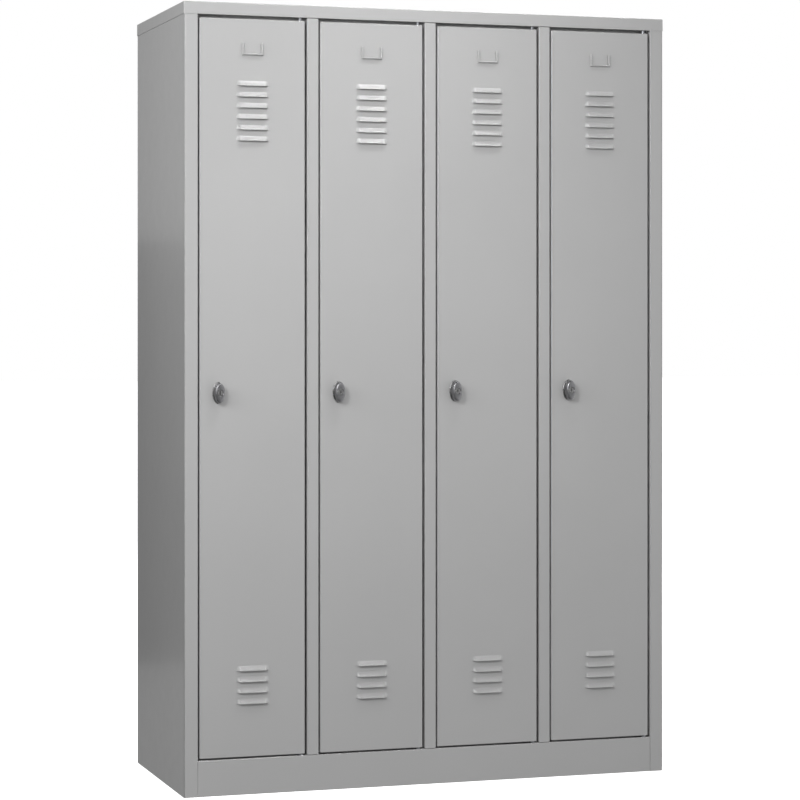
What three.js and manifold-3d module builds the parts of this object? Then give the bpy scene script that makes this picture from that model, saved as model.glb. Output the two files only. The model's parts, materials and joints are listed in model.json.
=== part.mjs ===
// Steel locker cabinet with four full-height doors side by side, on a plinth.
// Millimetres, +Z up, the front towards -Y. The origin is the bottom centre of the bounding box.
//
// The carcass is folded sheet: two side panels round two front posts, a top cover with a skirt all
// round, a back, a floor, a plinth and a header rail. Three partitions with hat-section mullions make
// four compartments, each with a hat shelf and a coat rail. Each door is a folded tray that swings on a
// top and a bottom pivot pin. A turn handle with a key plug works the cam that holds it shut.
import * as THREE from "three";
import { mergeVertices } from "three/addons/utils/BufferGeometryUtils.js";
import Module from "manifold-3d";

const wasm = await Module();
wasm.setup();

// ---------- driving dimensions ----------
const WIDTH = 1175;
const DEPTH = 500; // carcass, over the top cover
const HEIGHT = 1800;
const DOORS = 4;
const SHEET = 0.8;
const GAP = 0.3; // air left between pieces that touch
const BEND_RADIUS = 1.0; // inside radius of a fold
const BEND_STEPS = 3;
const OVERRUN = 1; // how far a cutting shape runs past the face that it opens

const HANDLE_REACH = 20; // how far a turn handle stands proud of the top cover
const SKIRT_HEIGHT = 28;
const PLINTH_HEIGHT = 82;
const POST_WIDTH = 33; // from the cabinet's side to the door opening
const MULLION_WIDTH = 27;
const STOP_DEPTH = 24; // from the front plane to the door stop
const STOP_LIP = 12;
const RAIL_LIP = 20; // the stop's height on the header rail and on the plinth
const REAR_FLANGE = 20;
const FLOOR_FOLD = 15; // round the floor panel, and under the plinth
const PARTITION_REAR_FLANGE = 5;
const PARTITION_FRONT_FLANGE = 5;

const DOOR_DEPTH = 20;
const DOOR_RIM = 12; // the fold round the back of a door
const LATCH_SIDE_GAP = 4;
const HINGE_SIDE_GAP = 6;
const DOOR_HEAD_GAP = 8; // above a door
const DOOR_FOOT_GAP = 4;
const PIVOT_IN_FROM_EDGE = 9;
const PIVOT_BEHIND_FACE = 8;
const PIN_RADIUS = 4;
const PIN_INTO_DOOR = 12;
const PIN_INTO_PLINTH = 10;
const COLLAR_RADIUS = 6;
const COLLAR_THICKNESS = 2;
const STIFFENER_WIDTH = 24;
const STIFFENER_WING = 8;
const STIFFENER_DEPTH = 14;
const STIFFENER_END = 30; // from each end of the door

const LOUVRE_WIDTH = 76;
const LOUVRE_HEIGHT = 12;
const LOUVRE_REACH = 8;
const LOUVRE_PITCH = 25;
const TOP_LOUVRES = 6;
const BOTTOM_LOUVRES = 4;
const TOP_LOUVRE_Z = 1612; // lower edge of the highest louvre
const BOTTOM_LOUVRE_Z = 282;

const LABEL_WIDTH = 50;
const LABEL_HEIGHT = 28;
const LABEL_Z = 1681; // lower edge of the label holder
const LABEL_REACH = 6;
const LABEL_RAIL = 5; // width of its rails

const LOCK_FROM_EDGE = 43; // latch spindle, from the door's latch side
const LOCK_Z = 914;
const ESCUTCHEON_WIDTH = 27;
const ESCUTCHEON_HEIGHT = 50;
const ESCUTCHEON_THICKNESS = 2;
const BARREL_RADIUS = 9;
const BARREL_LENGTH = 12; // behind the door's face
const HANDLE_WIDTH = 23;
const HANDLE_LENGTH = 46;
const HANDLE_EDGE = 2.5; // rounding round the grip's face
const HANDLE_NECK = 3; // round hub between the grip and the escutcheon
const SPINDLE_RADIUS = 4;
const SPINDLE_SQUARE = 5.6; // across the flats of its end, which turns the cam
const SCREW_RADIUS = 1.6;
const SCREW_LENGTH = 9;
const SCREW_HEAD_RADIUS = 5;
const SCREW_HEAD_HEIGHT = 2.4;
const SCREW_SLOT_DEPTH = 1;
const SCREW_SLOT_WIDTH = 1;
const PLUG_RADIUS = 7;
const PLUG_LENGTH = 10;
const PLUG_RECESS = 0.4; // behind the grip's face
const KEYWAY_WIDTH = 1.8;
const KEYWAY_HEIGHT = 8;
const KEYWAY_DEPTH = 6;
const CAM_LENGTH = 43;
const CAM_WIDTH = 18;
const CAM_THICKNESS = 2.5;
const CAM_BEHIND_FACE = 28;

const SHELF_Z = 1480;
const SHELF_FOLD = 25;
const SHELF_SETBACK = 37; // behind the front plane
const COAT_RAIL_RADIUS = 8;
const COAT_RAIL_WALL = 1.2;
const COAT_RAIL_FLANGE_RADIUS = 14;
const COAT_RAIL_FLANGE = 3;
const COAT_RAIL_Y = 15;
const COAT_RAIL_DROP = 65; // below the shelf's top

// ---------- derived positions ----------
const SKIN = SHEET + GAP; // one sheet and its air gap
const COVER_FRONT = -(DEPTH + HANDLE_REACH) / 2 + HANDLE_REACH;
const COVER_BACK = COVER_FRONT + DEPTH;
const FACE_Y = COVER_FRONT + SKIN; // front plane of posts, plinth and doors
const STOP_Y = FACE_Y + STOP_DEPTH; // front face of the side posts' and mullions' lips
const RAIL_STOP_Y = STOP_Y + SKIN; // front face of the header's and the plinth's lips
const INSIDE_FRONT = RAIL_STOP_Y + SKIN;
const BODY_HALF = WIDTH / 2 - SKIN;
const REAR_Y = COVER_BACK - SKIN; // outer face of the side panels' rear flanges
const BACK_PANEL_Y = REAR_Y - SKIN - SHEET;
const INSIDE_BACK = BACK_PANEL_Y - GAP;
const OPENING_TOP = HEIGHT - SKIRT_HEIGHT;
const UNDER_COVER = HEIGHT - SKIN;
const OPENING_WIDTH = (WIDTH - 2 * POST_WIDTH - (DOORS - 1) * MULLION_WIDTH) / DOORS;
const DOOR_PITCH = OPENING_WIDTH + MULLION_WIDTH;
const DOOR_WIDTH = OPENING_WIDTH - LATCH_SIDE_GAP - HINGE_SIDE_GAP;
const DOOR_BOTTOM = PLINTH_HEIGHT + DOOR_FOOT_GAP;
const DOOR_TOP = OPENING_TOP - DOOR_HEAD_GAP;

const openingLeft = (door) => -WIDTH / 2 + POST_WIDTH + door * DOOR_PITCH;
const doorLeft = (door) => openingLeft(door) + LATCH_SIDE_GAP;
const doorCentre = (door) => doorLeft(door) + DOOR_WIDTH / 2;
const pivotX = (door) => doorLeft(door) + DOOR_WIDTH - PIVOT_IN_FROM_EDGE;
const lockX = (door) => doorLeft(door) + LOCK_FROM_EDGE;
const mullionX = (index) => openingLeft(index + 1) - MULLION_WIDTH / 2;
const PIVOT_Y = FACE_Y + PIVOT_BEHIND_FACE;
const CAM_FRONT = FACE_Y + CAM_BEHIND_FACE;
const CAM_BACK = CAM_FRONT + CAM_THICKNESS;

// Inner faces of the walls on each side of a compartment.
const wallLeft = (door) => (door === 0 ? -BODY_HALF + SHEET : mullionX(door - 1) + SHEET / 2);
const wallRight = (door) => (door === DOORS - 1 ? BODY_HALF - SHEET : mullionX(door) - SHEET / 2);

// ---------- finishes ----------
function finish(color, roughness, metalness) {
  return new THREE.MeshStandardMaterial({ color, roughness, metalness });
}

const PAINT = finish(0xc4c6c6, 0.42, 0.1);
const NICKEL = finish(0xb9babb, 0.3, 0.95);
const DARK_NICKEL = finish(0x8c8d8f, 0.35, 0.9);
const ZINC = finish(0x9fa3a6, 0.4, 0.9);

// ---------- geometry helpers ----------
function solid(geometry) {
  const plain = geometry.index ? geometry.toNonIndexed() : geometry.clone();
  plain.deleteAttribute("normal");
  plain.deleteAttribute("uv");
  const merged = mergeVertices(plain, 1e-4);
  return new wasm.Manifold(
    new wasm.Mesh({
      numProp: 3,
      vertProperties: new Float32Array(merged.attributes.position.array),
      triVerts: new Uint32Array(merged.index.array),
    }),
  );
}

function geometryOf(manifold) {
  const mesh = manifold.getMesh();
  const shared = new THREE.BufferGeometry();
  shared.setAttribute("position", new THREE.BufferAttribute(new Float32Array(mesh.vertProperties), 3));
  shared.setIndex(new THREE.BufferAttribute(new Uint32Array(mesh.triVerts), 1));
  const flat = shared.toNonIndexed();
  flat.computeVertexNormals();
  return flat;
}

const join = (...parts) => parts.reduce((whole, part) => whole.add(part));
const cut = (whole, ...tools) => tools.reduce((left, tool) => left.subtract(tool), whole);

function block(x0, x1, y0, y1, z0, z1) {
  const geometry = new THREE.BoxGeometry(x1 - x0, y1 - y0, z1 - z0);
  return solid(geometry.translate((x0 + x1) / 2, (y0 + y1) / 2, (z0 + z1) / 2));
}

// An outline in X and Y, extruded from z0 to z1.
function upright(outline, z0, z1) {
  const geometry = new THREE.ExtrudeGeometry(outline, { depth: z1 - z0, bevelEnabled: false });
  return solid(geometry.translate(0, 0, z0));
}

// An outline in Y and Z, extruded from x0 to x1.
function crosswise(outline, x0, x1) {
  const turn = new THREE.Matrix4().makeBasis(
    new THREE.Vector3(0, 1, 0),
    new THREE.Vector3(0, 0, 1),
    new THREE.Vector3(1, 0, 0),
  );
  const geometry = new THREE.ExtrudeGeometry(outline, { depth: x1 - x0, bevelEnabled: false });
  return solid(geometry.applyMatrix4(turn).translate(x0, 0, 0));
}

const along = {
  x: new THREE.Matrix4().makeRotationZ(-Math.PI / 2),
  y: new THREE.Matrix4(),
  z: new THREE.Matrix4().makeRotationX(Math.PI / 2),
};

// A closed profile of [radius, height] pairs turned about the X, Y or Z axis.
function turned(profile, axis, segments = 14) {
  const points = profile.map(([radius, height]) => new THREE.Vector2(radius, height));
  return solid(new THREE.LatheGeometry(points, segments).applyMatrix4(along[axis]));
}

const rod = (radius, from, to, axis, segments) =>
  turned([[0, from], [radius, from], [radius, to], [0, to]], axis, segments);

// The section of a folded sheet. The points lie on its visible face, and the sheet is on their left.
function foldedSheet(points) {
  const path = points.map(([x, y]) => new THREE.Vector2(x, y));
  const normals = path.slice(1).map((point, i) => {
    const run = point.clone().sub(path[i]).normalize();
    return new THREE.Vector2(-run.y, run.x);
  });
  const face = [path[0].clone()];
  const inside = [path[0].clone().addScaledVector(normals[0], SHEET)];
  for (let i = 1; i < path.length - 1; i++) {
    const [before, after] = [normals[i - 1], normals[i]];
    const side = Math.sign(before.cross(after)); // +1 folds towards the sheet's own side
    const faceRadius = side > 0 ? BEND_RADIUS + SHEET : BEND_RADIUS;
    const insideRadius = side > 0 ? BEND_RADIUS : BEND_RADIUS + SHEET;
    const reach = (side * faceRadius) / (1 + before.dot(after));
    const centre = path[i].clone().addScaledVector(before, reach).addScaledVector(after, reach);
    const start = Math.atan2(before.y, before.x);
    const sweep = side * Math.acos(before.dot(after));
    for (let step = 0; step <= BEND_STEPS; step++) {
      const angle = start + (sweep * step) / BEND_STEPS;
      const out = new THREE.Vector2(Math.cos(angle), Math.sin(angle)).multiplyScalar(-side);
      face.push(centre.clone().addScaledVector(out, faceRadius));
      inside.push(centre.clone().addScaledVector(out, insideRadius));
    }
  }
  const last = path[path.length - 1];
  face.push(last.clone());
  inside.push(last.clone().addScaledVector(normals[normals.length - 1], SHEET));
  return new THREE.Shape([...face, ...inside.reverse()]);
}

// A rectangle whose corners are folded sheet: inset is 0 for its outer face, SHEET for its inner face.
function foldedBox(x0, x1, y0, y1, inset) {
  const radius = BEND_RADIUS + SHEET - inset;
  const corners = [
    [x1 - inset - radius, y1 - inset - radius],
    [x0 + inset + radius, y1 - inset - radius],
    [x0 + inset + radius, y0 + inset + radius],
    [x1 - inset - radius, y0 + inset + radius],
  ];
  const points = corners.flatMap(([x, y], quarter) =>
    Array.from({ length: BEND_STEPS + 1 }, (_, step) => {
      const angle = (Math.PI / 2) * (quarter + step / BEND_STEPS);
      return new THREE.Vector2(x + radius * Math.cos(angle), y + radius * Math.sin(angle));
    }),
  );
  return new THREE.Shape(points);
}

// A tray of folded sheet, open below: its top sheet ends at z1, and its rim hangs down to z0.
function trayDown(x0, x1, y0, y1, z0, z1) {
  const outside = upright(foldedBox(x0, x1, y0, y1, 0), z0, z1);
  return cut(outside, upright(foldedBox(x0, x1, y0, y1, SHEET), z0 - OVERRUN, z1 - SHEET));
}

function ellipse(width, height) {
  return new THREE.Shape().absellipse(0, 0, width / 2, height / 2, 0, 2 * Math.PI);
}

// An outline in X and Z, extruded from y0 to y1.
function frontal(outline, y0, y1, curveSegments) {
  const geometry = new THREE.ExtrudeGeometry(outline, { depth: y1 - y0, bevelEnabled: false, curveSegments });
  return solid(geometry.applyMatrix4(along.z).translate(0, y1, 0));
}

// ---------- carcass ----------
function topCover() {
  return trayDown(-WIDTH / 2, WIDTH / 2, COVER_FRONT, COVER_BACK, OPENING_TOP, HEIGHT);
}

// The section of a piece on the left, or of its mirror image on the right. side is -1 or 1.
function mirroredSection(path, side) {
  const section = foldedSheet(path);
  if (side < 0) return section;
  return new THREE.Shape(section.getPoints().map((point) => new THREE.Vector2(-point.x, point.y)));
}

// A side wall with a rear flange. Its front edge covers the side of the front post.
function sidePanel(side) {
  const frontEdge = FACE_Y + BEND_RADIUS;
  const section = mirroredSection(
    [[-BODY_HALF + REAR_FLANGE, REAR_Y], [-BODY_HALF, REAR_Y], [-BODY_HALF, frontEdge]],
    side,
  );
  return upright(section, 0, UNDER_COVER);
}

// A channel inside the side panel, from the floor to the top cover, whose lip is a door stop.
function frontPost(side) {
  const [outer, opening] = [-BODY_HALF + SKIN, -WIDTH / 2 + POST_WIDTH];
  const section = mirroredSection(
    [[outer, STOP_Y], [outer, FACE_Y], [opening, FACE_Y], [opening, STOP_Y], [opening + STOP_LIP, STOP_Y]],
    side,
  );
  return upright(section, 0, UNDER_COVER);
}

// Its sides stop short of the inside radius of the side panels' folds.
function backPanel() {
  const half = BODY_HALF - SKIN - BEND_RADIUS;
  return block(-half, half, BACK_PANEL_Y, BACK_PANEL_Y + SHEET, 0, UNDER_COVER - GAP);
}

function floorPanel() {
  const half = BODY_HALF - SKIN;
  return trayDown(-half, half, INSIDE_FRONT, INSIDE_BACK, PLINTH_HEIGHT - FLOOR_FOLD, PLINTH_HEIGHT);
}

// Rails run between the side posts and are notched round the posts' lips, from notchLow to notchHigh.
// Each has a hole per pivot pin, through the sheet at ledge.
function frontRail(outline, notchLow, notchHigh, ledge) {
  const half = WIDTH / 2 - POST_WIDTH - GAP;
  const notchStart = half - STOP_LIP;
  const notches = [-1, 1].map((side) => {
    const [x0, x1] = side < 0 ? [-half - OVERRUN, -notchStart] : [notchStart, half + OVERRUN];
    return block(x0, x1, STOP_Y - GAP, INSIDE_FRONT, notchLow, notchHigh);
  });
  const holes = Array.from({ length: DOORS }, (_, door) =>
    rod(PIN_RADIUS + GAP, -2, 2, "z").translate([pivotX(door), PIVOT_Y, ledge]),
  );
  return cut(crosswise(outline, -half, half), ...notches, ...holes);
}

function headerRail() {
  const outline = foldedSheet([
    [FACE_Y, UNDER_COVER - GAP],
    [FACE_Y, OPENING_TOP],
    [RAIL_STOP_Y, OPENING_TOP],
    [RAIL_STOP_Y, OPENING_TOP - RAIL_LIP],
  ]);
  return frontRail(outline, OPENING_TOP - RAIL_LIP - OVERRUN, OPENING_TOP + 5, OPENING_TOP);
}

function plinthFront() {
  const outline = foldedSheet([
    [RAIL_STOP_Y, PLINTH_HEIGHT + RAIL_LIP],
    [RAIL_STOP_Y, PLINTH_HEIGHT],
    [FACE_Y, PLINTH_HEIGHT],
    [FACE_Y, 0],
    [FACE_Y + FLOOR_FOLD, 0],
  ]);
  return frontRail(outline, PLINTH_HEIGHT - 5, PLINTH_HEIGHT + RAIL_LIP + OVERRUN, PLINTH_HEIGHT);
}

function mullion(index) {
  const x = mullionX(index);
  const half = MULLION_WIDTH / 2;
  const outline = foldedSheet([
    [x - half - STOP_LIP, STOP_Y],
    [x - half, STOP_Y],
    [x - half, FACE_Y],
    [x + half, FACE_Y],
    [x + half, STOP_Y],
    [x + half + STOP_LIP, STOP_Y],
  ]);
  return upright(outline, PLINTH_HEIGHT + SKIN, OPENING_TOP - SKIN);
}

// A web from inside the mullion to the back, with a flange at each end. Its front part stops short of
// the header's and the plinth's lips.
function partition(index) {
  const left = mullionX(index) - SHEET / 2;
  const rearEdge = left + PARTITION_REAR_FLANGE;
  const frontEdge = left + PARTITION_FRONT_FLANGE;
  const frontY = FACE_Y + SKIN;
  const web = foldedSheet([[rearEdge, INSIDE_BACK], [left, INSIDE_BACK], [left, INSIDE_FRONT]]);
  const front = foldedSheet([[left, INSIDE_FRONT + 1], [left, frontY], [frontEdge, frontY]]);
  return join(
    upright(web, PLINTH_HEIGHT + GAP, UNDER_COVER - GAP),
    upright(front, PLINTH_HEIGHT + RAIL_LIP + GAP, OPENING_TOP - RAIL_LIP - GAP),
  );
}

// ---------- compartment fittings ----------
function hatShelf(door) {
  const [left, right] = [wallLeft(door) + GAP, wallRight(door) - GAP];
  const [front, back] = [FACE_Y + SHELF_SETBACK, INSIDE_BACK - SKIN - GAP];
  return trayDown(left, right, front, back, SHELF_Z - SHELF_FOLD, SHELF_Z);
}

// A tube with a flange on each wall, open right through.
function coatRail(door) {
  const half = (wallRight(door) - wallLeft(door)) / 2 - GAP;
  const bore = COAT_RAIL_RADIUS - COAT_RAIL_WALL;
  const seat = half - COAT_RAIL_FLANGE;
  const profile = [
    [bore, -half],
    [COAT_RAIL_FLANGE_RADIUS, -half],
    [COAT_RAIL_FLANGE_RADIUS, -seat],
    [COAT_RAIL_RADIUS, -seat],
    [COAT_RAIL_RADIUS, seat],
    [COAT_RAIL_FLANGE_RADIUS, seat],
    [COAT_RAIL_FLANGE_RADIUS, half],
    [bore, half],
    [bore, -half],
  ];
  const middle = (wallLeft(door) + wallRight(door)) / 2;
  return turned(profile, "x").translate([middle, COAT_RAIL_Y, SHELF_Z - COAT_RAIL_DROP]);
}

// A pin through a front rail and the end fold of a door. Heights are [radius, z] up its outline.
const pivotPin = (door, outline) => turned(outline, "z").translate([pivotX(door), PIVOT_Y, 0]);

function topPin(door) {
  const ledge = OPENING_TOP + SKIN;
  return pivotPin(door, [
    [0, DOOR_TOP - PIN_INTO_DOOR],
    [PIN_RADIUS, DOOR_TOP - PIN_INTO_DOOR],
    [PIN_RADIUS, ledge],
    [COLLAR_RADIUS, ledge],
    [COLLAR_RADIUS, ledge + COLLAR_THICKNESS],
    [0, ledge + COLLAR_THICKNESS],
  ]);
}

// Its collar fills the gap under the door and carries the door's weight.
function bottomPin(door) {
  return pivotPin(door, [
    [0, PLINTH_HEIGHT - PIN_INTO_PLINTH],
    [PIN_RADIUS, PLINTH_HEIGHT - PIN_INTO_PLINTH],
    [PIN_RADIUS, PLINTH_HEIGHT + GAP],
    [COLLAR_RADIUS, PLINTH_HEIGHT + GAP],
    [COLLAR_RADIUS, DOOR_BOTTOM - GAP],
    [PIN_RADIUS, DOOR_BOTTOM - GAP],
    [PIN_RADIUS, DOOR_BOTTOM + PIN_INTO_DOOR],
    [0, DOOR_BOTTOM + PIN_INTO_DOOR],
  ]);
}

// ---------- doors ----------
// The section of a louvre's hood, from its foot round the bulge to the flat sheet above it.
function hoodOutline(reach, height, foot) {
  const shape = new THREE.Shape();
  shape.moveTo(FACE_Y + SHEET, foot);
  shape.lineTo(FACE_Y - reach, foot);
  shape.lineTo(FACE_Y - reach, 0);
  const steps = 4;
  for (let step = 1; step <= steps; step++) {
    const angle = (Math.PI / 2) * (step / steps);
    shape.lineTo(FACE_Y - reach * Math.cos(angle), height * Math.sin(angle));
  }
  shape.lineTo(FACE_Y + SHEET, height);
  return shape;
}

const louvreHeights = [
  ...Array.from({ length: TOP_LOUVRES }, (_, i) => TOP_LOUVRE_Z - i * LOUVRE_PITCH),
  ...Array.from({ length: BOTTOM_LOUVRES }, (_, i) => BOTTOM_LOUVRE_Z - i * LOUVRE_PITCH),
];

// Three rails that hold a card: left, right and below. The card drops in from above.
function labelHolder() {
  const half = LABEL_WIDTH / 2;
  const [front, lipBack] = [FACE_Y - LABEL_REACH, FACE_Y - LABEL_REACH + SHEET];
  const top = LABEL_Z + LABEL_HEIGHT;
  const rails = block(-half, half, front, FACE_Y + SHEET / 2, LABEL_Z, top);
  const above = top + OVERRUN;
  const windowHalf = half - LABEL_RAIL;
  const pocket = block(-half + SHEET, half - SHEET, lipBack, FACE_Y, LABEL_Z + SHEET, above);
  const window = block(-windowHalf, windowHalf, front - OVERRUN, FACE_Y, LABEL_Z + LABEL_RAIL, above);
  return cut(rails, pocket, window);
}

// One door about x = 0, with its louvres, label holder, lock hole and pivot holes.
function doorTray() {
  const half = DOOR_WIDTH / 2;
  const back = FACE_Y + DOOR_DEPTH;
  const louvreHalf = LOUVRE_WIDTH / 2;
  const shell = cut(
    upright(foldedBox(-half, half, FACE_Y, back, 0), DOOR_BOTTOM, DOOR_TOP),
    upright(foldedBox(-half, half, FACE_Y, back, SHEET), DOOR_BOTTOM + SHEET, DOOR_TOP - SHEET),
    block(
      -half + DOOR_RIM,
      half - DOOR_RIM,
      back - SHEET - OVERRUN,
      back + OVERRUN,
      DOOR_BOTTOM + DOOR_RIM,
      DOOR_TOP - DOOR_RIM,
    ),
  );
  const slotHalf = louvreHalf - SHEET;
  const windows = louvreHeights.map((z) =>
    block(-slotHalf, slotHalf, FACE_Y - OVERRUN, FACE_Y + 2, z, z + LOUVRE_HEIGHT - SHEET),
  );
  const hood = cut(
    crosswise(hoodOutline(LOUVRE_REACH, LOUVRE_HEIGHT, 0), -louvreHalf, louvreHalf),
    crosswise(hoodOutline(LOUVRE_REACH - SHEET, LOUVRE_HEIGHT - SHEET, -OVERRUN), -slotHalf, slotHalf),
  );
  const hoods = louvreHeights.map((z) => hood.translate([0, 0, z]));
  const lockHole = rod(BARREL_RADIUS + GAP, FACE_Y - 3, FACE_Y + 3, "y");
  const pivotHoles = [DOOR_BOTTOM, DOOR_TOP].map((z) =>
    rod(PIN_RADIUS + GAP, z - 3, z + 3, "z").translate([half - PIVOT_IN_FROM_EDGE, PIVOT_Y, 0]),
  );
  return cut(
    join(cut(shell, ...windows), ...hoods, labelHolder()),
    lockHole.translate([LOCK_FROM_EDGE - half, 0, LOCK_Z]),
    ...pivotHoles,
  );
}

// A hat-section channel inside the door, between the louvres and the hinge side.
function doorStiffener() {
  const half = STIFFENER_WIDTH / 2;
  const middle = (LOUVRE_WIDTH / 2 + DOOR_WIDTH / 2 - DOOR_RIM) / 2;
  const [left, right] = [middle - half, middle + half];
  const base = FACE_Y + SKIN + SHEET;
  const crown = FACE_Y + SKIN + STIFFENER_DEPTH;
  const outline = foldedSheet([
    [right + STIFFENER_WING, base],
    [right, base],
    [right, crown],
    [left, crown],
    [left, base],
    [left - STIFFENER_WING, base],
  ]);
  return upright(outline, DOOR_BOTTOM + STIFFENER_END, DOOR_TOP - STIFFENER_END);
}

// ---------- latch: pieces about the spindle's axis ----------
// An oval plate in front of the door, with a bored barrel through the door's lock hole.
function escutcheon() {
  const back = FACE_Y - GAP;
  const front = back - ESCUTCHEON_THICKNESS;
  const barrelEnd = FACE_Y + BARREL_LENGTH;
  const plate = frontal(ellipse(ESCUTCHEON_WIDTH, ESCUTCHEON_HEIGHT), front, back, 10);
  const barrel = rod(BARREL_RADIUS, back - 1, barrelEnd, "y");
  const bore = rod(SPINDLE_RADIUS + GAP, front - OVERRUN, barrelEnd + OVERRUN, "y");
  return cut(join(plate, barrel), bore);
}

// An oval grip on a round hub, with a seat for the key plug in its face. Behind it runs the spindle,
// whose square end is bored for the cam's screw.
function turnHandle() {
  const seat = FACE_Y - 2 * GAP - ESCUTCHEON_THICKNESS;
  const gripBack = seat - HANDLE_NECK;
  const tip = COVER_FRONT - HANDLE_REACH;
  const flatFace = ellipse(HANDLE_WIDTH - 2 * HANDLE_EDGE, HANDLE_LENGTH - 2 * HANDLE_EDGE);
  const grip = new THREE.ExtrudeGeometry(flatFace, {
    depth: gripBack - tip - 2 * HANDLE_EDGE,
    bevelThickness: HANDLE_EDGE,
    bevelSize: HANDLE_EDGE,
    bevelSegments: 2,
    curveSegments: 10,
  });
  grip.applyMatrix4(along.z).translate(0, gripBack - HANDLE_EDGE, 0);
  const flat = SPINDLE_SQUARE / 2;
  const plugSeat = tip + PLUG_RECESS + PLUG_LENGTH + 2 * GAP;
  return cut(
    join(
      solid(grip),
      rod(BARREL_RADIUS, gripBack - 1, seat, "y"),
      rod(SPINDLE_RADIUS, seat - 1, CAM_FRONT - GAP, "y"),
      block(-flat, flat, CAM_FRONT - 1, CAM_BACK, -flat, flat),
    ),
    rod(PLUG_RADIUS + GAP, tip - OVERRUN, plugSeat, "y", 18),
    rod(SCREW_RADIUS + GAP, CAM_BACK - SCREW_LENGTH - GAP, CAM_BACK + OVERRUN, "y", 10),
  );
}

// A round plug with a keyway in its face.
function keyPlug() {
  const face = COVER_FRONT - HANDLE_REACH + PLUG_RECESS;
  const [across, up] = [KEYWAY_WIDTH / 2, KEYWAY_HEIGHT / 2];
  return cut(
    rod(PLUG_RADIUS, face, face + PLUG_LENGTH, "y", 18),
    block(-across, across, face - OVERRUN, face + KEYWAY_DEPTH, -up, up),
  );
}

// A bar on the spindle's end. It points down when free, and sideways behind the stop when shut.
function latchCam() {
  const half = CAM_WIDTH / 2;
  const outline = new THREE.Shape();
  outline.moveTo(-half, -CAM_LENGTH);
  outline.lineTo(half, -CAM_LENGTH);
  outline.lineTo(half, 0);
  outline.absarc(0, 0, half, 0, Math.PI);
  outline.closePath();
  const hole = SPINDLE_SQUARE / 2 + GAP;
  return cut(
    frontal(outline, CAM_FRONT, CAM_BACK, 7),
    block(-hole, hole, CAM_FRONT - OVERRUN, CAM_BACK + OVERRUN, -hole, hole),
  );
}

// A round-headed screw that holds the cam on the spindle, with a slot across its head.
function camScrew() {
  const end = CAM_BACK - SCREW_LENGTH;
  const seat = CAM_BACK + GAP;
  const slotFloor = seat + SCREW_HEAD_HEIGHT - SCREW_SLOT_DEPTH;
  const crown = seat + SCREW_HEAD_HEIGHT;
  const screw = turned(
    [
      [0, end],
      [SCREW_RADIUS, end],
      [SCREW_RADIUS, seat],
      [SCREW_HEAD_RADIUS, seat],
      [SCREW_HEAD_RADIUS, slotFloor],
      [SCREW_HEAD_RADIUS - 1.2, crown],
      [0, crown],
    ],
    "y",
  );
  const slotEnd = SCREW_HEAD_RADIUS + OVERRUN;
  const slotHalf = SCREW_SLOT_WIDTH / 2;
  return cut(screw, block(-slotEnd, slotEnd, slotFloor, crown + OVERRUN, -slotHalf, slotHalf));
}

// ---------- assembly ----------
const cabinet = new THREE.Group();

function place(name, manifold, material, x = 0, z = 0) {
  const mesh = new THREE.Mesh(geometryOf(manifold), material);
  mesh.name = name;
  mesh.position.set(x, 0, z);
  cabinet.add(mesh);
}

place("top_cover", topCover(), PAINT);
place("side_panel_left", sidePanel(-1), PAINT);
place("side_panel_right", sidePanel(1), PAINT);
place("front_post_left", frontPost(-1), PAINT);
place("front_post_right", frontPost(1), PAINT);
place("back_panel", backPanel(), PAINT);
place("floor_panel", floorPanel(), PAINT);
place("header_rail", headerRail(), PAINT);
place("plinth_front", plinthFront(), PAINT);
for (let index = 0; index < DOORS - 1; index++) {
  place(`mullion_${index + 1}`, mullion(index), PAINT);
  place(`partition_${index + 1}`, partition(index), PAINT);
}

const door = doorTray();
const stiffener = doorStiffener();
const lock = {
  escutcheon: escutcheon(),
  turn_handle: turnHandle(),
  key_plug: keyPlug(),
  latch_cam: latchCam(),
  cam_screw: camScrew(),
};
const lockFinish = {
  escutcheon: NICKEL,
  turn_handle: DARK_NICKEL,
  key_plug: NICKEL,
  latch_cam: ZINC,
  cam_screw: ZINC,
};

for (let index = 0; index < DOORS; index++) {
  const number = index + 1;
  place(`hat_shelf_${number}`, hatShelf(index), PAINT);
  place(`coat_rail_${number}`, coatRail(index), ZINC);
  place(`pivot_pin_top_${number}`, topPin(index), ZINC);
  place(`pivot_pin_bottom_${number}`, bottomPin(index), ZINC);
  place(`door_panel_${number}`, door, PAINT, doorCentre(index));
  place(`door_stiffener_${number}`, stiffener, PAINT, doorCentre(index));
  for (const [piece, shape] of Object.entries(lock)) {
    place(`${piece}_${number}`, shape, lockFinish[piece], lockX(index), LOCK_Z);
  }
}

export default cabinet;
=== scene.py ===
"""Locker cabinet: fine surfaces, materials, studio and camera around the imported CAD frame."""
import json
import math

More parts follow.
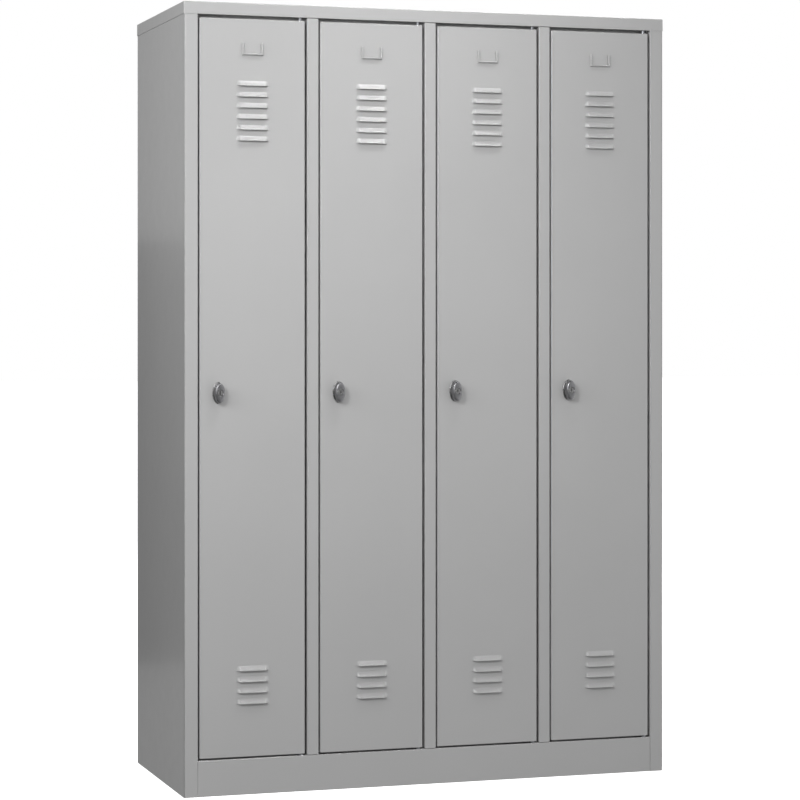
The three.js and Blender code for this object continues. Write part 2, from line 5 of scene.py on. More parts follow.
import bmesh
import bpy
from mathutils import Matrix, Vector

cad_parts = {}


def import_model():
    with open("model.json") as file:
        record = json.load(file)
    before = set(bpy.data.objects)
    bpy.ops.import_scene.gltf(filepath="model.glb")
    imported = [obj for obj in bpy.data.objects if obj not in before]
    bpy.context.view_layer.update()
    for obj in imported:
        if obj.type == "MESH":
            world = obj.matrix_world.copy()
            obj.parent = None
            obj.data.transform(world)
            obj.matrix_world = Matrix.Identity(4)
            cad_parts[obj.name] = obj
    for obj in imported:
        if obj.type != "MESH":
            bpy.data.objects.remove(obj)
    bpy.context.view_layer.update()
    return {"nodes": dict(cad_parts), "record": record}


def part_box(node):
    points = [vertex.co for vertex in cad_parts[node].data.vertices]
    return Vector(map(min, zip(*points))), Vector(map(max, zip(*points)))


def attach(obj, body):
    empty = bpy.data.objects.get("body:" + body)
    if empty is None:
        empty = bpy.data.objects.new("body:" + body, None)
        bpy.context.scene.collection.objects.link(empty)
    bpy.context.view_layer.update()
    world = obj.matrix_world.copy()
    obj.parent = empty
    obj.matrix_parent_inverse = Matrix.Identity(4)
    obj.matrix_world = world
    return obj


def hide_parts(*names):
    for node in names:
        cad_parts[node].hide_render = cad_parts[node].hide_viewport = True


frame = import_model()

MM = 0.001
SAME_PLACE = 1e-6  # metres; points nearer than this are one point
DOOR_NUMBERS = range(1, 5)
MULLION_NUMBERS = range(1, 4)

# Folded sheet, as in the CAD model.
SHEET = 0.8 * MM
FOLD_RADIUS = 1.8 * MM
DOOR_DEPTH = 20 * MM
DOOR_RIM = 12 * MM
STOP_LIP = 12 * MM

# Pressed louvres: distances on a door, from its centre line and from its bottom edge.
LOUVRE_HALF = 38 * MM
LOUVRE_HEIGHT = 12 * MM
LOUVRE_REACH = 7.9 * MM
LOUVRE_PITCH = 25 * MM
LOUVRE_END = 9 * MM  # length over which an end of a hood runs out into the sheet
LOUVRE_END_STEPS = 6
LOUVRE_BORDER = 2 * MM  # flat sheet beside a hood
LOUVRE_MIDDLE = 15 * MM
LOUVRE_ROWS = 9
HOOD_CURL = 0.12  # the smaller it is, the straighter a hood runs from its root to its lip
LOUVRE_GROUPS = ((1526 * MM, 6), (196 * MM, 4))  # highest lower edge, and how many below it

# Holes in a door for the lock's barrel and the pivot pins, each in a flat cell of the door's mesh.
LOCK_HOLE = 9.3 * MM
LOCK_CELL = 14 * MM
PIN_HOLE = 4.3 * MM
PIN_CELL = 6.5 * MM

LABEL_HALF = 25 * MM
LABEL_HEIGHT = 28 * MM
LABEL_FOOT = 1595 * MM

# The camera stands in front of the cabinet's left and looks level, turned a little to the right.
CAMERA_PLACE = (-1.92065, -5.94116, 1.07541)
CAMERA_TURN = -0.31314
CAMERA_LENS = 116.367
CAMERA_SHIFT = -0.09787

# Brightness of the surround: on the whole left half, and at the far right.
SURROUND_LEFT = 0.14
SURROUND_RIGHT = 1.35


# ---------- node helpers ----------
def material(name, metallic=0.0, specular=0.5, coat=0.0):
    made = bpy.data.materials.new(name)
    made.use_nodes = True
    shader = made.node_tree.nodes["Principled BSDF"]
    shader.inputs["Metallic"].default_value = metallic
    shader.inputs["Specular IOR Level"].default_value = specular
    shader.inputs["Coat Weight"].default_value = coat
    return made, made.node_tree, shader


def noise(tree, scale, detail=3.0, roughness=0.55, stretch=(1, 1, 1)):
    """Noise in object space, one unit of scale per metre."""
    place = tree.nodes.new("ShaderNodeTexCoord")
    mapping = tree.nodes.new("ShaderNodeMapping")
    mapping.inputs["Scale"].default_value = stretch
    texture = tree.nodes.new("ShaderNodeTexNoise")
    texture.inputs["Scale"].default_value = scale
    texture.inputs["Detail"].default_value = detail
    texture.inputs["Roughness"].default_value = roughness
    tree.links.new(place.outputs["Object"], mapping.inputs["Vector"])
    tree.links.new(mapping.outputs["Vector"], texture.inputs["Vector"])
    return texture.outputs["Fac"]


def ramp(tree, value, stops):
    """Maps a 0 to 1 value to colours; stops are (place, (r, g, b))."""
    node = tree.nodes.new("ShaderNodeValToRGB")
    elements = node.color_ramp.elements
    while len(elements) < len(stops):
        elements.new(0.5)
    for element, (place, colour) in zip(elements, stops):
        element.position = place
        element.color = (*colour, 1)
    tree.links.new(value, node.inputs["Fac"])
    return node.outputs["Color"]


def spread(tree, value, low, high):
    """Maps the middle of a noise, 0.3 to 0.7, to a range."""
    node = tree.nodes.new("ShaderNodeMapRange")
    node.inputs["From Min"].default_value = 0.3
    node.inputs["From Max"].default_value = 0.7
    node.inputs["To Min"].default_value = low
    node.inputs["To Max"].default_value = high
    tree.links.new(value, node.inputs["Value"])
    return node.outputs["Result"]


def mix(tree, factor, first, second):
    node = tree.nodes.new("ShaderNodeMix")
    node.data_type = "RGBA"
    tree.links.new(factor, node.inputs["Factor"])
    tree.links.new(first, node.inputs["A"])
    tree.links.new(second, node.inputs["B"])
    return node.outputs["Result"]


def bump(tree, shader, height, strength, distance):
    node = tree.nodes.new("ShaderNodeBump")
    node.inputs["Strength"].default_value = strength
    node.inputs["Distance"].default_value = distance
    tree.links.new(height, node.inputs["Height"])
    tree.links.new(node.outputs["Normal"], shader.inputs["Normal"])


def edge_mask(tree, radius):
    """0 on flat faces and up to 1 on edges: how far a rounding of this radius would turn the normal."""
    rounded = tree.nodes.new("ShaderNodeBevel")
    rounded.samples = 4
    rounded.inputs["Radius"].default_value = radius
    geometry = tree.nodes.new("ShaderNodeNewGeometry")
    turn = tree.nodes.new("ShaderNodeVectorMath")
    turn.operation = "DOT_PRODUCT"
    tree.links.new(rounded.outputs["Normal"], turn.inputs[0])
    tree.links.new(geometry.outputs["Normal"], turn.inputs[1])
    node = tree.nodes.new("ShaderNodeMapRange")
    node.inputs["From Min"].default_value = 0.995
    node.inputs["From Max"].default_value = 0.75
    tree.links.new(turn.outputs["Value"], node.inputs["Value"])
    return node.outputs["Result"]


# ---------- materials ----------
def powder_coat(name, base, roughness):
    """Satin powder coat on steel: faint mottle, orange peel, and a painted highlight that colours its
    edges paler.
    """
    made, tree, shader = material(name, specular=0.5, coat=0.35)
    shader.inputs["Coat Roughness"].default_value = 0.12
    darker = tuple(c * 0.985 for c in base)
    lighter = tuple(min(1, c * 1.015) for c in base)
    edge_highlight = tuple(min(1, c * 1.16) for c in base)
    mottle = ramp(tree, noise(tree, 3, 3), [(0.35, darker), (0.65, lighter)])
    # Painted highlight: edges are coloured paler, as if their roundings caught the light.
    edge = ramp(tree, noise(tree, 60, 2), [(0.3, lighter), (0.7, edge_highlight)])
    colour = mix(tree, edge_mask(tree, 0.7 * MM), mottle, edge)
    tree.links.new(colour, shader.inputs["Base Color"])
    gloss = spread(tree, noise(tree, 35, 3), roughness - 0.03, roughness + 0.04)
    tree.links.new(gloss, shader.inputs["Roughness"])
    bump(tree, shader, noise(tree, 700, 2, 0.6), 0.12, 0.0004)
    return made


def plated(name, base, roughness, grain):
    """Nickel or zinc plate: brushed along one axis, a little cloudy, with a painted highlight that
    colours its edges brighter.
    """
    made, tree, shader = material(name, metallic=1.0)
    dull = tuple(c * 0.8 for c in base)
    bright = tuple(min(1, c * 1.25) for c in base)
    cloud = ramp(tree, noise(tree, 90, 4), [(0.3, dull), (0.7, base)])
    # Painted highlight: edges are coloured brighter, as if their roundings caught the light.
    edge = ramp(tree, noise(tree, 300, 2), [(0.3, base), (0.7, bright)])
    colour = mix(tree, edge_mask(tree, 0.4 * MM), cloud, edge)
    tree.links.new(colour, shader.inputs["Base Color"])
    streaks = noise(tree, 400, 3, stretch=grain)
    tree.links.new(spread(tree, streaks, roughness * 0.7, roughness * 1.4), shader.inputs["Roughness"])
    bump(tree, shader, streaks, 0.08, 0.0002)
    return made


PAINT = (0.46, 0.46, 0.46)
MATERIALS = {
    "carcass_paint": powder_coat("carcass_powder_coat", PAINT, 0.36),
    "door_paint": powder_coat("door_powder_coat", PAINT, 0.40),
    "handle_nickel": plated("satin_nickel", (0.30, 0.30, 0.31), 0.34, (1, 1, 0.15)),
    "lock_nickel": plated("bright_nickel", (0.38, 0.38, 0.38), 0.28, (1, 1, 0.3)),
    "zinc_plate": plated("zinc", (0.36, 0.37, 0.39), 0.42, (0.1, 1, 1)),
}
SLOT_OF = {part["node"]: part["material_slot"] for part in frame["record"]["subparts"]}


# ---------- mesh helpers ----------
def finish_piece(name, mesh, body, nodes, slot):
    """Turns a bmesh into an object that stands for CAD nodes and rides on their body."""
    data = bpy.data.meshes.new(name)
    mesh.to_mesh(data)
    mesh.free()
    piece = bpy.data.objects.new(name, data)
    bpy.context.scene.collection.objects.link(piece)
    data.materials.append(MATERIALS[slot])
    for face in data.polygons:
        face.use_smooth = True
    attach(piece, body)
    if nodes:
        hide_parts(*nodes)
    return piece


def fold_weights(mesh):
    layers = mesh.edges.layers.float
    return layers.get("bevel_weight_edge") or layers.new("bevel_weight_edge")


def sheet_metal(piece):
    """Rounds the marked folds of a one-sided skin, then gives it its sheet thickness inwards."""
    folds = piece.modifiers.new("folds", "BEVEL")
    folds.limit_method = "WEIGHT"
    folds.width = FOLD_RADIUS
    folds.segments = 4
    thickness = piece.modifiers.new("sheet", "SOLIDIFY")
    thickness.thickness = SHEET
    thickness.offset = -1
    thickness.use_even_offset = True
    normals = piece.modifiers.new("normals", "WEIGHTED_NORMAL")
    normals.keep_sharp = True
    return piece


def superellipse(half_width, half_height, power, count):
    """Points round a closed outline: power 2 is an ellipse, and a high power nearly a rectangle."""
    points = []
    for i in range(count):
        angle = 2 * math.pi * i / count
        across, up = math.cos(angle), math.sin(angle)
        points.append((
            half_width * math.copysign(abs(across) ** (2 / power), across),
            half_height * math.copysign(abs(up) ** (2 / power), up),
        ))
    return points


def loft(rings, centre, axis="y", closed=False, count=64):
    """Joins outlines along X or Y. Each ring is (place, half width, half height, power)."""
    mesh = bmesh.new()
    loops = []
    for place, half_width, half_height, power in rings:
        loop = []
        for u, v in superellipse(half_width, half_height, power, count):
            spot = (u, place, v) if axis == "y" else (place, u, v)
            loop.append(mesh.verts.new(Vector(centre) + Vector(spot)))
        loops.append(loop)
    pairs = list(zip(loops, loops[1:])) + ([(loops[-1], loops[0])] if closed else [])
    for first, second in pairs:
        for i in range(count):
            j = (i + 1) % count
            mesh.faces.new((first[i], first[j], second[j], second[i]))
    if not closed:
        mesh.faces.new(loops[0])
        mesh.faces.new(list(reversed(loops[-1])))
    bmesh.ops.recalc_face_normals(mesh, faces=mesh.faces)
    return mesh


def round_ring(place, radius):
    return (place, radius, radius, 2)


def smooth_by_angle(piece, degrees):
    """Keeps the edges that are sharper than the angle, in a modifier, so the mesh stays as it is."""
    name = f"smooth_{degrees}"
    group = bpy.data.node_groups.get(name)
    if group is None:
        group = bpy.data.node_groups.new(name, "GeometryNodeTree")
        group.interface.new_socket("Geometry", in_out="INPUT", socket_type="NodeSocketGeometry")
        group.interface.new_socket("Geometry", in_out="OUTPUT", socket_type="NodeSocketGeometry")
        start = group.nodes.new("NodeGroupInput")
        end = group.nodes.new("NodeGroupOutput")
        faces = group.nodes.new("GeometryNodeSetShadeSmooth")
        faces.domain = "FACE"
        edges = group.nodes.new("GeometryNodeSetShadeSmooth")
        edges.domain = "EDGE"
        edges.inputs["Shade Smooth"].default_value = False
        angle = group.nodes.new("GeometryNodeInputMeshEdgeAngle")
        sharp = group.nodes.new("FunctionNodeCompare")
        sharp.data_type = "FLOAT"
        sharp.operation = "GREATER_THAN"
        sharp.inputs["B"].default_value = math.radians(degrees)
        group.links.new(start.outputs[0], faces.inputs["Geometry"])
        group.links.new(faces.outputs[0], edges.inputs["Geometry"])
        group.links.new(angle.outputs["Unsigned Angle"], sharp.inputs["A"])
        group.links.new(sharp.outputs["Result"], edges.inputs["Selection"])
        group.links.new(edges.outputs[0], end.inputs[0])
    piece.modifiers.new("smooth", "NODES").node_group = group
    return piece


# ---------- doors ----------
def smoothstep(value):
    t = min(1.0, max(0.0, value))
    return t * t * (3 - 2 * t)


def hood_profile(height):
    """How far a hood stands out at a height from 0 at its lip to 1 at its root."""
    t = 1 - height
    return (1 + HOOD_CURL) * t * t / (t + HOOD_CURL)


def hood_spread(x):
    return smoothstep((LOUVRE_HALF - abs(x)) / LOUVRE_END)


def door_rows(height, lock):
    """Rows of the door's face from bottom to top, each (z, how far a hood stands out there)."""
    rows = [(0.0, 0.0), (lock - LOCK_CELL, 0.0), (lock + LOCK_CELL, 0.0), (height, 0.0)]
    for top_foot, count in LOUVRE_GROUPS:
        for i in range(count):
            foot = top_foot - i * LOUVRE_PITCH
            rows.append((foot, 0.0))
            for step in range(LOUVRE_ROWS + 1):
                share = step / LOUVRE_ROWS
                rows.append((foot + share * LOUVRE_HEIGHT, LOUVRE_REACH * hood_profile(share)))
    return sorted(rows, key=lambda row: (round(row[0], 6), row[1]))


def door_columns(half, lock, pivot):
    """Columns of the door's face from left to right, as distances from its centre line."""
    ends = [LOUVRE_HALF - LOUVRE_END * i / LOUVRE_END_STEPS for i in range(LOUVRE_END_STEPS + 1)]
    right = [half, LOUVRE_HALF + LOUVRE_BORDER, *ends, LOUVRE_MIDDLE]
    holes = [lock - LOCK_CELL, lock + LOCK_CELL, pivot - PIN_CELL, pivot + PIN_CELL]
    return sorted([-x for x in right] + [0.0] + right + holes)


def pierce(mesh, centre, axis, radius, count=32):
    """Cuts a round hole, along one axis, in the flat four-sided face that holds its centre."""
    centre = Vector(centre)
    across, up = [other for other in range(3) if other != axis]

    def holds_centre(face):
        level = abs(face.normal[axis]) > 0.99 and abs(face.verts[0].co[axis] - centre[axis]) < SAME_PLACE
        return level and bmesh.geometry.intersect_face_point(face, centre)

    face = next(face for face in mesh.faces if holds_centre(face))
    corners = list(face.verts)
    bmesh.ops.delete(mesh, geom=[face], context="FACES_ONLY")
    ring = []
    for i in range(count):
        angle = 2 * math.pi * i / count
        spot = centre.copy()
        spot[across] += radius * math.cos(angle)
        spot[up] += radius * math.sin(angle)
        ring.append(mesh.verts.new(spot))
    nearest = [min(range(count), key=lambda i: (ring[i].co - corner.co).length) for corner in corners]
    for i in range(4):
        j = (i + 1) % 4
        turn = (nearest[j] - nearest[i]) % count
        step, steps = (-1, turn) if turn <= count // 2 else (1, count - turn)
        arc = [ring[(nearest[j] + step * k) % count] for k in range(steps + 1)]
        mesh.faces.new([corners[i], corners[j], *arc])


def door_skin(number):
    """The door as one folded sheet, with its louvres pressed out of the face."""
    low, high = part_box(f"door_panel_{number}")
    half = (high.x - low.x) / 2
    centre = (high.x + low.x) / 2
    face_y = high.y - DOOR_DEPTH
    lock_x, _, lock_z = lock_axis(number)
    pin_low, pin_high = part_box(f"pivot_pin_top_{number}")
    pivot = (pin_low + pin_high) / 2
    xs = door_columns(half, lock_x - centre, pivot.x - centre)
    mesh = bmesh.new()
    grid = []
    for z, reach in door_rows(high.z - low.z, lock_z - low.z):
        out = [reach * hood_spread(x) for x in xs]
        grid.append([mesh.verts.new((centre + x, face_y - y, low.z + z)) for x, y in zip(xs, out)])
    for below, above in zip(grid, grid[1:]):
        if above[0].co.z - below[0].co.z < SAME_PLACE:
            continue  # the open slot under a lip
        for i in range(len(xs) - 1):
            mesh.faces.new((below[i], below[i + 1], above[i + 1], above[i]))
    bmesh.ops.remove_doubles(mesh, verts=mesh.verts, dist=SAME_PLACE)
    outline = (centre - half, centre + half, low.z, high.z)
    add_returns(mesh, outline, high.y)
    pierce(mesh, (lock_x, face_y, lock_z), 1, LOCK_HOLE)
    for end in (low.z, high.z):
        pierce(mesh, (pivot.x, pivot.y, end), 2, PIN_HOLE)
    piece = finish_piece(
        f"door_skin_{number}", mesh, f"door_{number}", [f"door_panel_{number}"], "door_paint"
    )
    return sheet_metal(piece)


def add_returns(mesh, outline, back_y):
    """Folds the face's border back to the door's depth, and then inwards to make its rim."""
    weights = fold_weights(mesh)
    x_low, x_high, z_low, z_high = outline

    def near(value, limit):
        return abs(value - limit) < SAME_PLACE

    def depth_of(edge):
        return abs(edge.verts[0].co.y - edge.verts[1].co.y)

    def inward(vert):
        """Which way the rim goes from a point on the outline, along X and along Z."""
        x, z = vert.co.x, vert.co.z
        return near(x, x_low) - near(x, x_high), near(z, z_low) - near(z, z_high)

    border = [e for e in mesh.edges if e.is_boundary and all(any(inward(v)) for v in e.verts)]
    for rim in (0, DOOR_RIM):
        for edge in border:
            edge[weights] = 1.0
        made = bmesh.ops.extrude_edge_only(mesh, edges=border)["geom"]
        moves = [(v, inward(v)) for v in made if isinstance(v, bmesh.types.BMVert)]
        for vert, (x_way, z_way) in moves:
            vert.co = (vert.co.x + x_way * rim, back_y, vert.co.z + z_way * rim)
            corner_of_returns = rim == 0 and x_way and z_way
            for edge in vert.link_edges:
                if corner_of_returns and depth_of(edge) > 0:
                    edge[weights] = 1.0
        border = [e for e in made if isinstance(e, bmesh.types.BMEdge) and e.is_boundary]
        border = [e for e in border if depth_of(e) < SAME_PLACE]
    bmesh.ops.recalc_face_normals(mesh, faces=mesh.faces)


def label_holder(number):
    """Three rails round a card: a small section swept down, along and up, mitred at its corners."""
    low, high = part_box(f"door_panel_{number}")
    centre = (low.x + high.x) / 2
    face_y = high.y - DOOR_DEPTH
    foot, top = low.z + LABEL_FOOT, low.z + LABEL_FOOT + LABEL_HEIGHT
    section = [
        (0, 0.3),
        (0.1, -1.2),
        (0.6, -3.2),
        (1.4, -5),
        (2.1, -5.8),
        (2.6, -6),
        (3.1, -5.8),
        (3.8, -5),
        (4.6, -3.2),
        (5, -1.4),
        (4.6, -1.2),
        (1.2, -1.2),
        (1, 0.3),
    ]
    stations = [
        ((-LABEL_HALF, top), (1, 0)),
        ((-LABEL_HALF, foot), (1, 1)),
        ((LABEL_HALF, foot), (-1, 1)),
        ((LABEL_HALF, top), (-1, 0)),
    ]
    mesh = bmesh.new()
    loops = []
    for (x, z), (x_way, z_way) in stations:
        loops.append([
            mesh.verts.new((centre + x + x_way * w * MM, face_y + d * MM, z + z_way * w * MM))
            for w, d in section
        ])
    for first, second in zip(loops, loops[1:]):
        for i in range(len(section)):
            j = (i + 1) % len(section)
            mesh.faces.new((first[i], first[j], second[j], second[i]))
    mesh.faces.new(loops[0])
    mesh.faces.new(list(reversed(loops[-1])))
    bmesh.ops.recalc_face_normals(mesh, faces=mesh.faces)
    piece = finish_piece(f"label_holder_{number}", mesh, f"door_{number}", [], "door_paint")
    return smooth_by_angle(piece, 50)


# ---------- carcass ----------
def tray(node):
    """A sheet with a rim folded down all round, in the CAD node's box."""
    low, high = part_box(node)
    mesh = bmesh.new()
    bmesh.ops.create_cube(mesh, size=1)
    for vert in mesh.verts:
        vert.co = [(low, high)[vert.co[axis] > 0][axis] for axis in range(3)]
    under = [f for f in mesh.faces if f.normal.z < -0.5]
    bmesh.ops.delete(mesh, geom=under, context="FACES_ONLY")
    weights = fold_weights(mesh)
    for edge in mesh.edges:
        edge[weights] = 0.0 if edge.is_boundary else 1.0
    return sheet_metal(finish_piece(f"{node}_skin", mesh, "cabinet", [node], "carcass_paint"))


def strip(node, path):
    """A folded strip from the bottom to the top of the CAD node. Its seen face is on the path's right."""
    low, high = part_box(node)
    mesh = bmesh.new()
    weights = fold_weights(mesh)
    feet = [mesh.verts.new((x, y, low.z)) for x, y in path]
    heads = [mesh.verts.new((x, y, high.z)) for x, y in path]
    for i in range(len(path) - 1):
        mesh.faces.new((feet[i], feet[i + 1], heads[i + 1], heads[i]))
    for foot, head in list(zip(feet, heads))[1:-1]:
        mesh.edges.get((foot, head))[weights] = 1.0
    return sheet_metal(finish_piece(f"{node}_skin", mesh, "cabinet", [node], "carcass_paint"))


def mirrored(path):
    return [(-x, y) for x, y in reversed(path)]


def side_panel(side):
    low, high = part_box("side_panel_left")
    path = [(high.x, high.y), (low.x, high.y), (low.x, low.y)]
    strip(f"side_panel_{side}", path if side == "left" else mirrored(path))


def front_post(side):
    low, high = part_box("front_post_left")
    opening = high.x - STOP_LIP
    back = high.y - SHEET
    path = [(low.x, back), (low.x, low.y), (opening, low.y), (opening, back), (high.x, back)]
    strip(f"front_post_{side}", path if side == "left" else mirrored(path))


def mullion(number):
    node = f"mullion_{number}"
    low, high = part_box(node)
    back = high.y - SHEET
    left, right = low.x + STOP_LIP, high.x - STOP_LIP
    left_half = [(low.x, back), (left, back), (left, low.y)]
    right_half = [(right, low.y), (right, back), (high.x, back)]
    strip(node, left_half + right_half)


def coat_rail(number):
    """A tube between two pressed flanges."""
    node = f"coat_rail_{number}"
    low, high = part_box(node)
    centre = (low + high) / 2
    half = (high.x - low.x) / 2
    tube = 8 * MM
    flange = (high.z - low.z) / 2
    thick = 3 * MM
    end = [
        (half, flange - 1 * MM),
        (half - 0.6 * MM, flange),
        (half - 1.2 * MM, flange),
        (half - thick, tube + 3 * MM),
        (half - thick - 1 * MM, tube + 0.6 * MM),
        (half - thick - 3 * MM, tube),
    ]
    bore = tube - 1.2 * MM
    left_end = [round_ring(-x, radius) for x, radius in end]
    right_end = [round_ring(x, radius) for x, radius in reversed(end)]
    rings = [round_ring(-half, bore), *left_end, *right_end, round_ring(half, bore)]
    mesh = loft(rings, centre, "x", closed=True, count=40)
    piece = finish_piece(f"{node}_turned", mesh, "cabinet", [node], "zinc_plate")
    return smooth_by_angle(piece, 35)


# ---------- locks ----------
def lock_axis(number):
    low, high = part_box(f"key_plug_{number}")
    return ((low.x + high.x) / 2, 0, (low.z + high.z) / 2)


def lock_piece(node, name, rings, body, slot, closed):
    number = node[-1]
    scaled = [(y, a * MM, b * MM, power) for y, a, b, power in rings]
    mesh = loft(scaled, lock_axis(number), "y", closed)
    piece = finish_piece(name, mesh, body, [node], slot)
    return smooth_by_angle(piece, 32)


def escutcheon(number):
    """An oval plate with a soft edge, on the threaded barrel that goes through the door."""
    node = f"escutcheon_{number}"
    low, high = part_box(node)
    plate_back = low.y + 2 * MM
    rings = [
        (high.y, 4.3, 4.3, 2),
        (high.y, 8.6, 8.6, 2),
        (high.y - 0.4 * MM, 9, 9, 2),
        (plate_back, 9, 9, 2),
        (plate_back, 13.3, 24.8, 2),
        (plate_back - 0.3 * MM, 13.5, 25, 2),
        (plate_back - 1.1 * MM, 13.4, 24.9, 2),
        (plate_back - 1.7 * MM, 12.9, 24.4, 2),
        (low.y, 11.9, 23.4, 2),
        (low.y, 4.3, 4.3, 2),
    ]
    return lock_piece(node, f"lock_plate_{number}", rings, f"door_{number}", "lock_nickel", True)


def turn_handle(number):
    """An oval grip that swells from a round hub, with a bevelled face and a seat for the plug."""
    node = f"turn_handle_{number}"
    low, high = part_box(node)
    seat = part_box(f"escutcheon_{number}")[0].y - 0.3 * MM
    tip = low.y
    rings = [
        (high.y, 2.8, 2.8, 12),
        (high.y - 3 * MM, 2.8, 2.8, 12),
        (high.y - 3 * MM, 4, 4, 2),
        (seat, 4, 4, 2),
        (seat, 8.8, 8.8, 2),
        (seat - 0.3 * MM, 9, 9, 2),
        (seat - 1.8 * MM, 9, 9.4, 2),
        (seat - 2.8 * MM, 9.8, 13, 2),
        (seat - 3.8 * MM, 10.9, 19.5, 2),
        (seat - 4.8 * MM, 11.4, 22.3, 2),
        (seat - 6.0 * MM, 11.5, 23, 2),
        (tip + 4.0 * MM, 11.3, 22.8, 2),
        (tip + 2.2 * MM, 11.0, 22.4, 2),
        (tip + 1.0 * MM, 10.3, 21.6, 2),
        (tip + 0.3 * MM, 9.5, 20.6, 2),
        (tip, 8.9, 19.6, 2),
        (tip + 0.25 * MM, 8.1, 9.5, 2),
        (tip + 0.1 * MM, 7.8, 7.8, 2),
        (tip + 0.6 * MM, 7.3, 7.3, 2),
        (tip + 11 * MM, 7.3, 7.3, 2),
    ]
    return lock_piece(node, f"turn_grip_{number}", rings, f"latch_{number}", "handle_nickel", False)


def key_plug(number):
    """The round plug, with a keyway cut into its face."""
    node = f"key_plug_{number}"
    low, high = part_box(node)
    rings = [
        (high.y, 6.6, 6.6, 2),
        (high.y - 0.4 * MM, 7, 7, 2),
        (low.y + 0.5 * MM, 7, 7, 2),
        (low.y, 6.5, 6.5, 2),
        (low.y, 1.2, 4.3, 7),
        (low.y + 0.35 * MM, 0.9, 4, 8),
        (low.y + 6 * MM, 0.9, 4, 8),
    ]
    return lock_piece(node, f"plug_{number}", rings, f"plug_{number}", "lock_nickel", False)


# ---------- assembly ----------
for number in DOOR_NUMBERS:
    door_skin(number)
    label_holder(number)
    escutcheon(number)
    turn_handle(number)
    key_plug(number)
    coat_rail(number)
    tray(f"hat_shelf_{number}")

tray("top_cover")
tray("floor_panel")
for side in ("left", "right"):
    side_panel(side)
    front_post(side)
for number in MULLION_NUMBERS:
    mullion(number)

for node, cad in frame["nodes"].items():
    cad.data.materials.clear()
    cad.data.materials.append(MATERIALS[SLOT_OF[node]])
    smooth_by_angle(cad, 35)


# ---------- studio ----------
def area_light(name, place, target, size, watts, beam=180):
    data = bpy.data.lights.new(name, "AREA")
    data.shape = "RECTANGLE"
    data.size, data.size_y = size
    data.energy = watts
    data.spread = math.radians(beam)
    light = bpy.data.objects.new(name, data)
    bpy.context.scene.collection.objects.link(light)
    light.location = place
    light.rotation_euler = (Vector(target) - Vector(place)).to_track_quat("-Z", "Y").to_euler()
    light.visible_camera = False
    return light


def plane(name, corners, made):
    data = bpy.data.meshes.new(name)
    data.from_pydata(corners, [], [(0, 1, 2, 3)])
    data.materials.append(made)
    piece = bpy.data.objects.new(name, data)
    bpy.context.scene.collection.objects.link(piece)
    return piece


def floor():
    """A white floor that glows a little, so that it meets the white surround with no horizon."""
    made, tree, shader = material("floor_white", specular=0.2)
    tint = ramp(tree, noise(tree, 2, 3), [(0.3, (0.80, 0.80, 0.80)), (0.7, (0.84, 0.84, 0.84))])
    tree.links.new(tint, shader.inputs["Base Color"])
    shader.inputs["Roughness"].default_value = 0.8
    shader.inputs["Emission Color"].default_value = (1, 1, 1, 1)
    shader.inputs["Emission Strength"].default_value = 0.86
    reach = 40  # metres each way
    corners = [(-reach, -reach, 0), (reach, -reach, 0), (reach, reach, 0), (-reach, reach, 0)]
    piece = plane("floor", corners, made)
    piece.visible_diffuse = False
    piece.visible_glossy = False


def reflector(name, low, high, strength):
    """An upright panel behind the cabinet's left, which shows only as a reflection in its side.

    At strength 0 it is a black panel that hides the surround from that reflection.
    """
    made, tree, shader = material(name)
    shader.inputs["Base Color"].default_value = (0, 0, 0, 1)
    shader.inputs["Emission Color"].default_value = (1, 1, 1, 1)
    shader.inputs["Emission Strength"].default_value = strength
    left, right, back = -4.5, -0.62, 3.0
    corners = [(left, back, low), (right, back, low), (right, back, high), (left, back, high)]
    piece = plane(name, corners, made)
    piece.visible_camera = False
    piece.visible_diffuse = False
    piece.visible_shadow = False


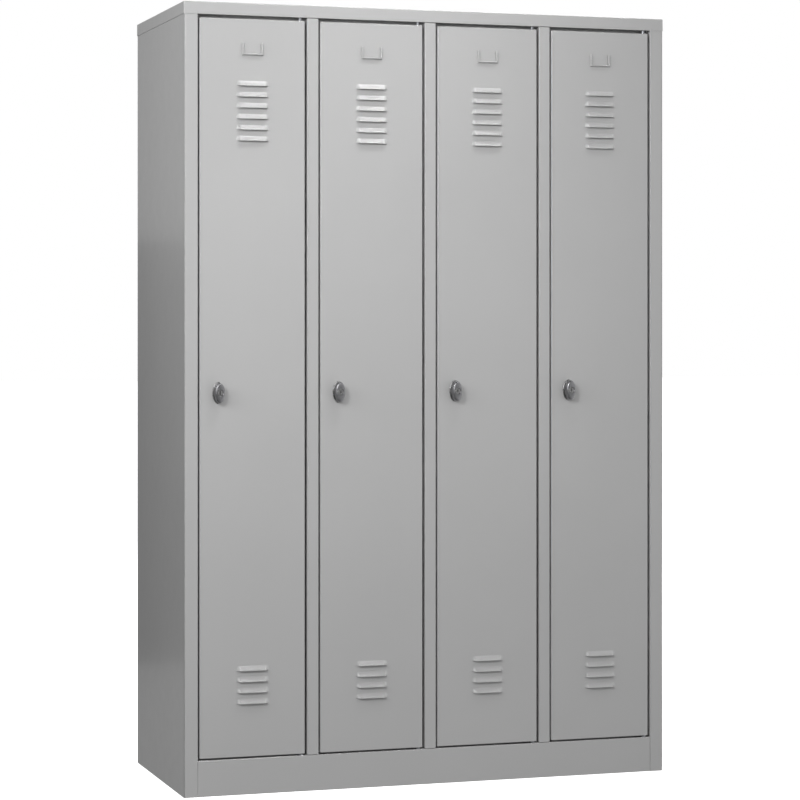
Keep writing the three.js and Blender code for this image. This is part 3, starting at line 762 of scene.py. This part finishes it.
def world():
    """White to the camera; to everything else dim on the left, and brighter the further right."""
    bpy.context.scene.world = bpy.data.worlds.new("studio")
    bpy.context.scene.world.use_nodes = True
    tree = bpy.context.scene.world.node_tree
    background = tree.nodes["Background"]
    place = tree.nodes.new("ShaderNodeTexCoord")
    axes = tree.nodes.new("ShaderNodeSeparateXYZ")
    tree.links.new(place.outputs["Generated"], axes.inputs["Vector"])
    surround = tree.nodes.new("ShaderNodeMapRange")
    surround.inputs["From Min"].default_value = 0
    surround.inputs["From Max"].default_value = 1
    surround.inputs["To Min"].default_value = SURROUND_LEFT
    surround.inputs["To Max"].default_value = SURROUND_RIGHT
    tree.links.new(axes.outputs["X"], surround.inputs["Value"])
    path = tree.nodes.new("ShaderNodeLightPath")
    choose = tree.nodes.new("ShaderNodeMix")
    choose.inputs["B"].default_value = 1
    tree.links.new(path.outputs["Is Camera Ray"], choose.inputs["Factor"])
    tree.links.new(surround.outputs["Result"], choose.inputs["A"])
    tree.links.new(choose.outputs["Result"], background.inputs["Strength"])
    background.inputs["Color"].default_value = (1, 1, 1, 1)


def camera():
    data = bpy.data.cameras.new("camera")
    data.sensor_width = 36
    data.lens = CAMERA_LENS
    data.shift_y = CAMERA_SHIFT
    piece = bpy.data.objects.new("camera", data)
    bpy.context.scene.collection.objects.link(piece)
    piece.location = CAMERA_PLACE
    piece.rotation_euler = (math.radians(90), 0, CAMERA_TURN)
    bpy.context.scene.camera = piece


bpy.context.scene.view_settings.view_transform = "Standard"
floor()
world()
area_light("key", (-2.6, -3.2, 2.6), (0, 0, 1.2), (1.2, 1.2), 74)
area_light("side_fill", (-3.0, -1.2, 2.0), (-0.6, 0, 1.2), (1.2, 1.2), 27)
area_light("overhead", (0.1, -0.95, 3.0), (-0.25, -0.24, 1.45), (0.8, 0.15), 1.9, beam=64)
area_light("front", (-0.8, -4.0, 2.4), (0.05, -0.24, 1.3), (1.4, 1.0), 1.3, beam=34)
area_light("back", (2.2, 4.5, 3.2), (0, 0, 0.9), (2.0, 2.0), 160)
reflector("upper_reflector", 1.36, 3.6, 0.31)
reflector("lower_reflector", -0.13, 1.36, 0.0)
reflector("floor_reflector", -2.5, -0.13, 0.28)
camera()
